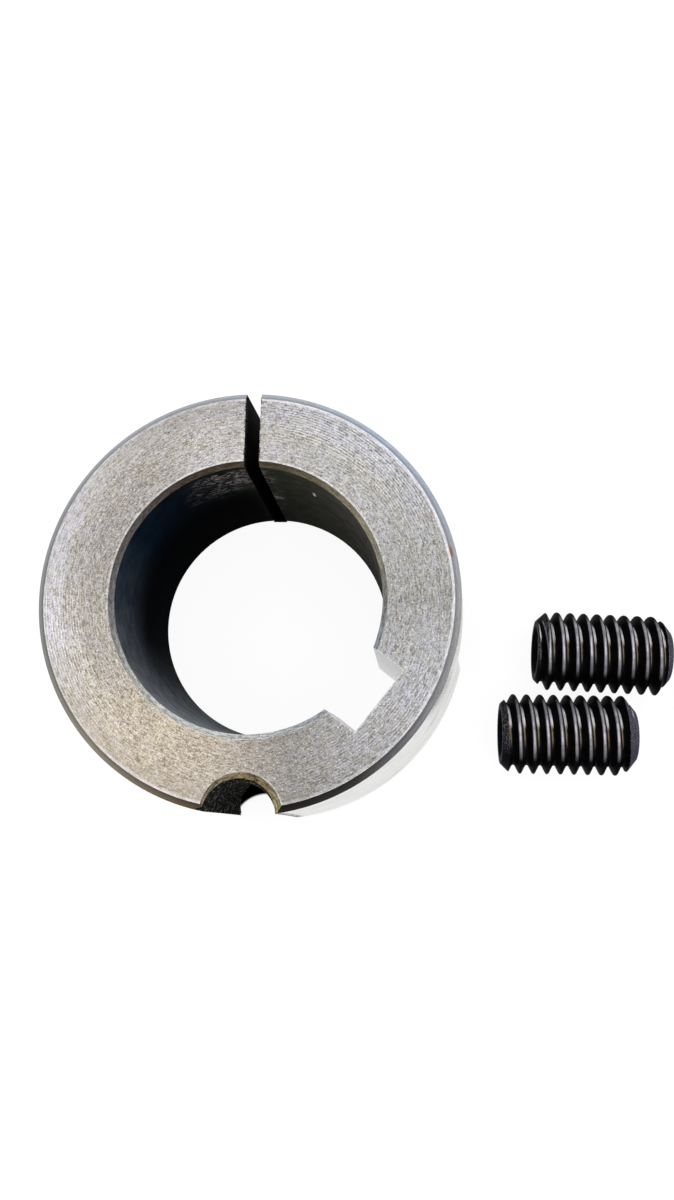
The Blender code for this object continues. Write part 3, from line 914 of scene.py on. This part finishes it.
def evaluated_mesh(thing, name):
    """The mesh that an object's modifiers make, as a plain mesh."""
    bpy.context.view_layer.update()
    shown = thing.evaluated_get(bpy.context.evaluated_depsgraph_get())
    mesh = bpy.data.meshes.new_from_object(shown)
    mesh.name = name
    return mesh


def remove(things):
    """Take helper objects out of the file."""
    for thing in things:
        bpy.data.objects.remove(thing, do_unlink=True)


def carved(body, tools):
    """Cut a body with tools and return the mesh that is left."""
    for tool in tools:
        step = body.modifiers.new(tool.name, "BOOLEAN")
        step.operation = "DIFFERENCE"
        step.solver = "EXACT"
        step.material_mode = "TRANSFER"
        step.object = tool
    mesh = evaluated_mesh(body, body.name)
    remove([*tools, body])
    return mesh


def finished_piece(name, mesh, node, sharp):
    """Add a finished piece in place of a CAD node, smooth but for edges above a sharp angle."""
    mesh.shade_smooth()
    mesh.set_sharp_from_angle(angle=sharp)
    mesh.validate()
    piece = added(name, mesh)
    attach(piece, BODY)
    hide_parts(node)


ROD_INPUTS = {
    "NodeSocketFloat": (
        ("Diameter", "Outside diameter of the thread"),
        ("Pitch", "Rise of the thread in one turn"),
        ("Flank Angle", "Half the angle between the flanks"),
        ("Rounding", "Radius at crest and root, as a share of the pitch"),
        ("Length", "Length of the rod"),
        ("Crest Height", "A height that a crest passes"),
        ("Crest Angle", "Where about the axis it passes that height"),
        ("Start Diameter", "Diameter of the face at height zero"),
        ("Start Chamfer", "Length of the chamfer there"),
        ("End Diameter", "Diameter of the face at the other end"),
        ("End Chamfer", "Length of the chamfer there"),
        ("Socket Width", "Width across the flats, or zero for no socket"),
        ("Socket Depth", "Depth of the socket's flats"),
        ("Top Angle", "Where about the axis the side lies that ends up on top")),
    "NodeSocketInt": (
        ("Steps Around", "Facets round the rod"),
        ("Steps per Turn", "Facets along one pitch")),
    "NodeSocketMaterial": (
        ("Material", "Finish of the rod"),),
}
ROD_MARKS = ("groove", "flank", "cone", "brim", "upward", "aside")
SOCKET_LINES = 5
SOCKET_TIP_SLOPE = math.radians(31.0)
MOUTH_FLARE = 1.06
CREST_CROWDING = 0.6
START_CONE_WEAR = 0.3
MERGE_DISTANCE = 1e-6


def thread_drop(graph, phase, rounding, flank):
    """(Depth below the crest, whole depth) of a thread at a phase, as shares of the pitch.

    Crest and root are arcs of one radius, and the flank between them touches both.
    """
    arc_end = rounding * graph.math("COSINE", flank)
    steepness = graph.math("TANGENT", flank)
    half = rounding * (1.0 - graph.math("SINE", flank)) + (0.25 - arc_end) / steepness
    from_middle = graph.math("MINIMUM", phase, 1.0 - phase) - 0.25
    along = 0.25 - abs(from_middle)
    on_arc = graph.math("MINIMUM", along, arc_end)
    arc = rounding - graph.math("SQRT", rounding * rounding - on_arc * on_arc)
    straight = graph.math("MAXIMUM", along - arc_end, 0.0) / steepness
    drop = half + graph.math("SIGN", from_middle) * (half - arc - straight)
    return drop, half * 2.0


def threaded_rod_tree():
    """Geometry Nodes that bend a grid into a right-hand threaded rod along Z.

    The grid's columns go round the rod and its lines follow the thread, so that after one turn
    each line meets the one that lies a pitch further on. The first lines make the socket.
    """
    tree = bpy.data.node_groups.new("threaded_rod", "GeometryNodeTree")
    for kind, inputs in ROD_INPUTS.items():
        for name, description in inputs:
            tree.interface.new_socket(name, description=description, in_out="INPUT",
                                      socket_type=kind)
    tree.interface.new_socket("Mesh", in_out="OUTPUT", socket_type="NodeSocketGeometry")
    graph = Graph(tree)
    given = graph.node("NodeGroupInput")
    radius = given["Diameter"] / 2.0
    pitch = given["Pitch"]
    length = given["Length"]

    base = given["Crest Height"] - pitch * given["Crest Angle"] / TAU
    spare = graph.math("CEIL", base / pitch) + 1.0
    turns = graph.math("CEIL", (length - base) / pitch) + spare
    last_line = turns * given["Steps per Turn"] + (SOCKET_LINES + 1.0)
    grid = graph.node("GeometryNodeMeshGrid", None,
                      {"Size X": given["Steps Around"], "Size Y": last_line,
                       "Vertices X": given["Steps Around"] + 1.0,
                       "Vertices Y": last_line + 1.0})["Mesh"]

    grid_x, grid_y, _ = graph.split(graph.node("GeometryNodeInputPosition")[0])
    column = graph.math("ROUND", grid_x + given["Steps Around"] / 2.0)
    line = graph.math("ROUND", grid_y + last_line / 2.0)
    around = column * TAU / given["Steps Around"]

    turn = (line - float(SOCKET_LINES)) / given["Steps per Turn"]
    whole = graph.math("FLOOR", turn)
    part = turn - whole
    phase = part - graph.math("SINE", part * (2 * TAU)) * (CREST_CROWDING / (2 * TAU))
    rise = base + pitch * (whole - spare + phase + around / TAU)
    height = graph.math("MINIMUM", graph.math("MAXIMUM", rise, 0.0), length)

    drop, depth = thread_drop(graph, phase, given["Rounding"], given["Flank Angle"])
    thread = radius - pitch * drop
    start = given["Start Diameter"] / 2.0
    end = given["End Diameter"] / 2.0
    start_cone = start + height * (radius - start) / given["Start Chamfer"]
    end_cone = end + (length - height) * (radius - end) / given["End Chamfer"]
    cones = graph.math("MINIMUM", start_cone, end_cone)
    reach = graph.math("MINIMUM", thread, cones)

    flat = given["Socket Width"] / 2.0
    across = graph.math("MODULO", around, TAU / 6) - TAU / 12
    hexagon = flat / graph.math("COSINE", across)
    mouth = flat * (MOUTH_FLARE / math.cos(TAU / 12))
    deep = given["Socket Depth"]
    tip = deep + flat * math.tan(SOCKET_TIP_SLOPE)
    kind = graph.math("MINIMUM", line, float(SOCKET_LINES)) + (line > last_line - 0.5)
    reaches = (0.0, flat, hexagon, hexagon, mouth, reach, 0.0)
    heights = (tip, deep, deep, mouth - hexagon, 0.0, height, length)
    out, up = (graph.node("GeometryNodeIndexSwitch",
                          {"data_type": "FLOAT", "choices": len(choices)},
                          {0: kind, **dict(enumerate(choices, start=1))})[0]
               for choices in (reaches, heights))
    place = graph.point(out * graph.math("COSINE", around), out * graph.math("SINE", around), up)

    groove = (radius - reach) / (pitch * depth)
    cone = ((thread - cones) > 0.0) * (START_CONE_WEAR
                                       + (height > length / 2.0) * (1.0 - START_CONE_WEAR))
    flank = graph.math("SINE", phase * TAU)
    brim = (thread - cones) / pitch
    upward = graph.math("COSINE", around - given["Top Angle"])
    aside = graph.math("SINE", given["Top Angle"] - around)
    mesh = grid
    for name, value in zip(ROD_MARKS, (groove, flank, cone, brim, upward, aside)):
        mesh = graph.node("GeometryNodeStoreNamedAttribute",
                          {"data_type": "FLOAT", "domain": "POINT"},
                          {"Geometry": mesh, "Name": name, "Value": value})[0]
    mesh = graph.node("GeometryNodeSetPosition", None, {"Geometry": mesh, "Position": place})[0]
    mesh = graph.node("GeometryNodeMergeByDistance", None,
                      {"Geometry": mesh, "Distance": MERGE_DISTANCE})[0]
    mesh = graph.node("GeometryNodeRealizeInstances", None, {"Geometry": mesh})[0]
    mesh = graph.node("GeometryNodeSetMaterial", None,
                      {"Geometry": mesh, "Material": given["Material"]})[0]
    graph.node("NodeGroupOutput", None, {"Mesh": mesh})
    return tree


def threaded_rod(name, values):
    """A threaded rod as a plain mesh, with the tree's inputs given by name."""
    tree = bpy.data.node_groups.get("threaded_rod") or threaded_rod_tree()
    carrier = added(name, bpy.data.meshes.new(name))
    step = carrier.modifiers.new("Threaded rod", "NODES")
    step.node_group = tree
    for item in tree.interface.items_tree:
        if item.in_out == "INPUT":
            step[item.identifier] = values[item.name]
    mesh = evaluated_mesh(carrier, name)
    remove([carrier])
    return mesh


class MESH_OT_make_split_bushing(bpy.types.Operator):
    """Make the bushing: a turned ring with its keyway, saw cut and three half-holes"""

    bl_idname = "mesh.make_split_bushing"
    bl_label = "Make Bushing"

    OVERRUN = 1.5 * MM
    ROUND_FACETS = 3
    TAP_STEPS_PER_TURN = 16
    SHARP_ANGLE = math.radians(12.5)

    def ring(self, sizes, materials):
        """The turned ring before it is cut, with its edges rounded by wear."""
        slope = math.tan(sizes.taper)
        bore = sizes.bore / 2
        large = bore + sizes.wall
        small = large - sizes.length * slope
        drop = sizes.rim_chamfer * slope
        corners = (
            (bore + sizes.bore_chamfer, 0.0, "turned_face"),
            (large - sizes.rim_chamfer, 0.0, "chamfered_edge"),
            (large - drop, sizes.rim_chamfer, "ground_taper"),
            (small + drop, sizes.length - sizes.rim_chamfer, "chamfered_edge"),
            (small - sizes.rim_chamfer, sizes.length, "turned_face"),
            (bore + sizes.bore_chamfer, sizes.length, "chamfered_edge"),
            (bore, sizes.length - sizes.bore_chamfer, "bored_wall"),
            (bore, sizes.bore_chamfer, "chamfered_edge"))
        outline = rounded_outline([(Vector(place), finish) for *place, finish in corners],
                                  sizes.edge_round, self.ROUND_FACETS)
        return revolve("split_bushing", outline, sizes.steps_around, materials)

    def keyway_and_saw_cut(self, sizes, materials):
        """The bar that makes the keyway and the blade that splits the ring."""
        top = sizes.length + self.OVERRUN
        floor = sizes.bore / 2 + sizes.keyway_depth
        half = sizes.keyway_width / 2
        keyway = bar_tool("keyway_bar", (0.0, -half, -self.OVERRUN), (floor, half, top),
                          sizes.keyway_angle, materials["broached_keyway"],
                          sizes.keyway_corner)
        half = sizes.saw_width / 2
        outside = sizes.bore / 2 + sizes.wall + self.OVERRUN
        blade = bar_tool("saw_blade", (0.0, -half, -self.OVERRUN), (outside, half, top),
                         TAU / 4, materials["sawn_wall"])
        return [keyway, blade]

    def removal_hole(self, sizes, thread, materials):
        """The tap for the removal half-hole and the countersinks at its two ends."""
        quarter_facet = TAU / 4 / sizes.hole_steps
        depth = sizes.length + 2 * self.OVERRUN
        tap_end = sizes.bore / 4
        tap = threaded_rod("removal_tap", {
            "Diameter": sizes.tap_diameter, "Pitch": thread.pitch,
            "Flank Angle": thread.flank, "Rounding": thread.rounding, "Length": depth,
            "Crest Height": depth - self.OVERRUN,
            "Crest Angle": sizes.thread_start - quarter_facet, "Top Angle": 0.0,
            "Start Diameter": tap_end, "Start Chamfer": self.OVERRUN / 2,
            "End Diameter": tap_end, "End Chamfer": self.OVERRUN / 2,
            "Socket Width": 0.0, "Socket Depth": 0.0, "Steps Around": sizes.hole_steps,
            "Steps per Turn": self.TAP_STEPS_PER_TURN, "Material": materials["tapped_wall"]})
        place = Matrix.Translation((0.0, -screw_circle(sizes), 0.0))
        tap.transform(place @ Matrix.Translation((-sizes.tap_drift, -sizes.tap_drop,
                                                  -self.OVERRUN))
                      @ Matrix.Rotation(quarter_facet, 4, "Z"))
        tools = [added("removal_tap", tap)]
        rim = sizes.countersink / 2
        off_middle = Vector((sizes.sink_drift, sizes.sink_inset, 0.0))
        for name, face, outwards, drift in (("upper", sizes.length, 1, off_middle),
                                            ("lower", 0.0, -1, Vector())):
            wide = face + outwards * self.OVERRUN
            sink = plain_tool(f"{name}_countersink",
                              ((0.0, face - outwards * rim), (rim + self.OVERRUN, wide),
                               (0.0, wide)), sizes.hole_steps,
                              materials["countersunk_edge"])
            sink.data.transform(Matrix.Translation(drift) @ place
                                @ Matrix.Rotation(-quarter_facet, 4, "Z"))
            tools.append(sink)
        return tools

    def clamp_holes(self, sizes, materials):
        """A drill for each blind half-hole, up from the large end."""
        radius = sizes.screw_diameter / 2 + sizes.clamp_clearance
        tip = sizes.clamp_depth + radius / math.tan(sizes.drill_point)
        quarter_facet = TAU / 4 / sizes.hole_steps
        tools = []
        for side in (1, -1):
            drill = plain_tool("clamp_drill", ((0.0, -self.OVERRUN), (radius, -self.OVERRUN),
                                               (radius, sizes.clamp_depth), (0.0, tip)),
                               sizes.hole_steps, materials["drilled_wall"])
            drill.data.transform(Matrix.Translation((side * screw_circle(sizes), 0.0, 0.0))
                                 @ Matrix.Rotation(quarter_facet, 4, "Z"))
            tools.append(drill)
        return tools

    def execute(self, context):
        settings = context.scene.taper_bushing
        sizes = settings.bushing
        materials = {finish.__name__: finish(sizes, settings.finish)
                     for finish in (turned_face, chamfered_edge, ground_taper, bored_wall,
                                    broached_keyway, sawn_wall, tapped_wall,
                                    countersunk_edge, drilled_wall)}
        on_ring = {name: materials[name] for name in ("turned_face", "chamfered_edge",
                                                      "ground_taper", "bored_wall")}
        body = added("split_bushing", self.ring(sizes, on_ring))
        mesh = carved(body, [*self.keyway_and_saw_cut(sizes, materials),
                             *self.removal_hole(sizes, settings.screws, materials),
                             *self.clamp_holes(sizes, materials)])
        mesh.transform(Matrix.Translation(BORE_FOOT))
        finished_piece("split_bushing", mesh, "bushing", self.SHARP_ANGLE)
        return {"FINISHED"}


class MESH_OT_make_set_screws(bpy.types.Operator):
    """Make the two set screws, each with a rounded thread, a socket and a chamfered point"""

    bl_idname = "mesh.make_set_screws"
    bl_label = "Make Set Screws"

    SHARP_ANGLE = math.radians(40.0)

    def execute(self, context):
        settings = context.scene.taper_bushing
        sizes = settings.screws
        diameter = NEAR_SCREW_HIGH.z - NEAR_SCREW_LOW.z
        length = NEAR_SCREW_HIGH.x - NEAR_SCREW_LOW.x
        finish = black_oxide(settings.finish)
        for name, node, roll, turn in (
                ("near_set_screw", "set_screw_1", sizes.near_roll, 0.0),
                ("far_set_screw", "set_screw_2", 0.0, sizes.far_turn)):
            mesh = threaded_rod(name, {
                "Diameter": diameter, "Pitch": sizes.pitch, "Flank Angle": sizes.flank,
                "Rounding": sizes.rounding, "Length": length,
                "Crest Height": sizes.first_crest, "Crest Angle": TAU / 2,
                "Start Diameter": sizes.socket_end, "Start Chamfer": sizes.socket_chamfer,
                "End Diameter": sizes.point_end, "End Chamfer": sizes.point_chamfer,
                "Socket Width": sizes.socket_width, "Socket Depth": sizes.socket_depth,
                "Top Angle": TAU / 2 - roll, "Steps Around": sizes.steps_around,
                "Steps per Turn": sizes.steps_per_turn, "Material": finish})
            low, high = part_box(node)
            mesh.transform(Matrix.Translation((low + high) / 2)
                           @ Matrix.Rotation(turn, 4, "Z") @ Matrix.Rotation(TAU / 4, 4, "Y")
                           @ Matrix.Rotation(roll, 4, "Z")
                           @ Matrix.Translation((0.0, 0.0, -length / 2)))
            finished_piece(name, mesh, node, self.SHARP_ANGLE)
        return {"FINISHED"}


class SCENE_OT_set_bushing_stage(bpy.types.Operator):
    """Add the floor, the soft light and the camera"""

    bl_idname = "scene.set_bushing_stage"
    bl_label = "Set Stage"

    # The painted shade, in millimetres: how far inside the ring's edge it fades out, where it
    # starts before the bore's wall, how far it runs past the walls, and how softly it starts.
    RING_FADE = (0.4, 0.7)
    CUT_START = (0.10, 0.02)
    CUT_SPARE = 0.05
    HOLE_START = 0.15
    HOLE_SPARE = 0.3

    def shade_in_gaps(self, graph, sizes, stage):
        """1 where the floor lies deep in the saw cut or by the wall of the removal half-hole."""
        _, x, y, _ = in_millimetres(graph, BORE_FOOT)
        bore = sizes.bore / 2 / MM
        outside = bore + sizes.wall / MM
        in_ring = graph.between(graph.math("SQRT", x * x + y * y),
                                *(outside - inside for inside in self.RING_FADE))
        in_cut = ((abs(x) < sizes.saw_width / 2 / MM + self.CUT_SPARE)
                  * graph.between(y, *(bore - before for before in self.CUT_START)) * in_ring)
        place = graph.point(x, y + screw_circle(sizes) / MM, 0.0)
        light = (stage.hole_light_x / MM, stage.hole_light_y / MM, 0.0)
        reach = stage.hole_light / MM
        far = graph.between(graph.apart(place, light), reach - self.HOLE_START,
                            reach + self.HOLE_START)
        hole = sizes.tap_diameter / 2 / MM + self.HOLE_SPARE
        in_hole = far * (graph.apart(place, (0.0, 0.0, 0.0)) < hole) * in_ring
        return graph.math("MAXIMUM", in_cut, in_hole)

    def add_floor(self, sizes, stage):
        """A plain white floor that keeps the parts' soft shadows, with shade painted in gaps."""
        shape = bmesh.new()
        bmesh.ops.create_grid(shape, x_segments=1, y_segments=1, size=stage.floor_size / 2)
        mesh = mesh_of("floor", shape)
        mesh.transform(Matrix.Translation((0.0, 0.0, -stage.floor_drop)))
        material, graph = new_finish("floor")
        path = graph.node("ShaderNodeLightPath")
        seen = graph.math("MAXIMUM", path["Is Camera Ray"], path["Is Glossy Ray"])
        seen = graph.math("MAXIMUM", seen, path["Is Transmission Ray"])
        shade = self.shade_in_gaps(graph, sizes, stage)
        lit = graph.node("ShaderNodeBsdfDiffuse", None,
                         {"Color": graph.scaled(stage.floor_grey, 1.0 - shade)})
        white = graph.node("ShaderNodeEmission", None,
                           {"Strength": seen * (1.0 - shade) * stage.floor_white})
        both = graph.node("ShaderNodeAddShader", None, {0: lit["BSDF"], 1: white["Emission"]})
        graph.node("ShaderNodeOutputMaterial", None, {"Surface": both["Shader"]})
        mesh.materials.append(material)
        floor = added("floor", mesh)

    def add_light(self, stage):
        """Even light from all round and one large soft box overhead."""
        world = bpy.data.worlds.new("studio")
        world.use_nodes = True
        graph = Graph(world.node_tree)
        sky = graph.node("ShaderNodeBackground", None, {"Color": (1.0, 1.0, 1.0, 1.0),
                                                        "Strength": stage.sky})
        graph.node("ShaderNodeOutputWorld", None, {"Surface": sky["Background"]})
        bpy.context.scene.world = world

        lamp = bpy.data.lights.new("soft_box", "AREA")
        lamp.shape = "SQUARE"
        lamp.size = stage.soft_box_size
        lamp.energy = stage.soft_box * math.pi * stage.soft_box_size ** 2
        soft_box = added("soft_box", lamp)
        soft_box.location = (0.0, stage.soft_box_y, stage.soft_box_height)
        soft_box.visible_camera = False

    def add_camera(self, stage):
        """The camera, held so that the saw cut points up in the picture."""
        place = Vector(stage.camera_place)
        back = (place - Vector(stage.camera_aim)).normalized()
        up = Vector((0.0, 1.0, 0.0))
        up = (up - back * up.dot(back)).normalized()
        facing = Matrix((up.cross(back), up, back)).transposed()
        facing = Matrix.Rotation(stage.camera_roll, 3, back) @ facing
        lens = bpy.data.cameras.new("camera")
        lens.lens = stage.lens
        lens.sensor_width = SENSOR_WIDTH
        lens.clip_start = 1 * MM
        lens.clip_end = 2 * stage.floor_size
        camera = added("camera", lens)
        camera.matrix_world = Matrix.Translation(place) @ facing.to_4x4()
        bpy.context.scene.camera = camera

    def execute(self, context):
        settings = context.scene.taper_bushing
        stage = settings.stage
        self.add_floor(settings.bushing, stage)
        self.add_light(stage)
        self.add_camera(stage)
        context.scene.view_settings.view_transform = "Standard"
        return {"FINISHED"}


class VIEW3D_PT_split_bushing(bpy.types.Panel):
    """Lists what the file makes."""

    bl_idname = "VIEW3D_PT_split_bushing"
    bl_label = "Split Taper Bushing"
    bl_space_type = "VIEW_3D"
    bl_region_type = "UI"
    bl_category = "Bushing"

    def draw(self, context):
        for operator in OPERATORS:
            self.layout.operator(operator.bl_idname)
        settings = context.scene.taper_bushing
        for group in (settings.bushing, settings.screws, settings.finish, settings.stage):
            box = self.layout.box()
            for name in group.__annotations__:
                box.prop(group, name)


OPERATORS = (MESH_OT_make_split_bushing, MESH_OT_make_set_screws, SCENE_OT_set_bushing_stage)
CLASSES = (BushingSizes, ScrewSizes, FinishSettings, StageSettings, TaperBushingSettings,
           *OPERATORS, VIEW3D_PT_split_bushing)


def register():
    """Register the classes and add the settings to the scene."""
    for item in CLASSES:
        bpy.utils.register_class(item)
    bpy.types.Scene.taper_bushing = PointerProperty(name="Taper Bushing",
                                                    type=TaperBushingSettings)


def unregister():
    """Take the settings off the scene and unregister the classes."""
    del bpy.types.Scene.taper_bushing
    for item in reversed(CLASSES):
        bpy.utils.unregister_class(item)


def main():
    """Make everything in order."""
    register()
    bpy.ops.mesh.make_split_bushing()
    bpy.ops.mesh.make_set_screws()
    bpy.ops.scene.set_bushing_stage()


if __name__ == "__main__":
    main()
